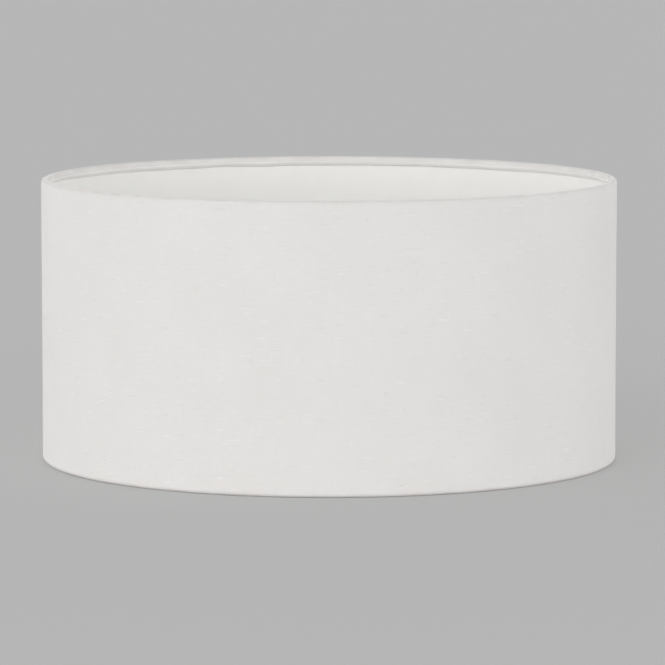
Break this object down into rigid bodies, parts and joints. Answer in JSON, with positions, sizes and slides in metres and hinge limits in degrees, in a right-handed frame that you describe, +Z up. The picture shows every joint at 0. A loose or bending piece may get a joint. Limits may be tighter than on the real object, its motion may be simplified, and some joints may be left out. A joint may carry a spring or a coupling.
{
  "type": "lamp shade",
  "caption": "Wide round drum lamp shade in off-white linen-look fabric on a white backing panel, with rolled rims and a wire fitter with a loose reducer in its bottom ring",
  "frame": {"origin": "centre of the bottom rim, in the plane the shade stands on", "axes": "+Z up along the shade's axis; -Y is the plain front; +X is to the right seen from the front; the lap is at the left, -X, and one arm points to the back, +Y"},
  "size_m": [0.42, 0.42, 0.206],
  "materials": {
    "cover_fabric": "off-white plain weave with a fine slub, laminated flat",
    "panel_plastic": "smooth satin white plastic sheet",
    "adhesive_tape": "translucent double-sided tape",
    "coated_wire": "white powder-coated steel wire",
    "coated_plate": "white powder-coated steel plate",
    "reducer_plastic": "moulded satin white plastic"
  },
  "bodies": {
    "shade": {"fabric_cover": "cover_fabric", "backing_panel": "panel_plastic", "seam_tape": "adhesive_tape", "top_ring": "coated_wire", "top_ring_tape": "adhesive_tape", "bottom_ring": "coated_wire", "bottom_ring_tape": "adhesive_tape", "arm_1": "coated_wire", "arm_2": "coated_wire", "arm_3": "coated_wire", "fitter_ring": "coated_plate"},
    "reducer": {"reducer_ring": "reducer_plastic"}
  },
  "joints": [
    {"name": "reducer_lift", "type": "slide", "parent": "shade", "child": "reducer", "axis": [0, 0, 1], "range_m": [0, 0.06]}
  ]
}
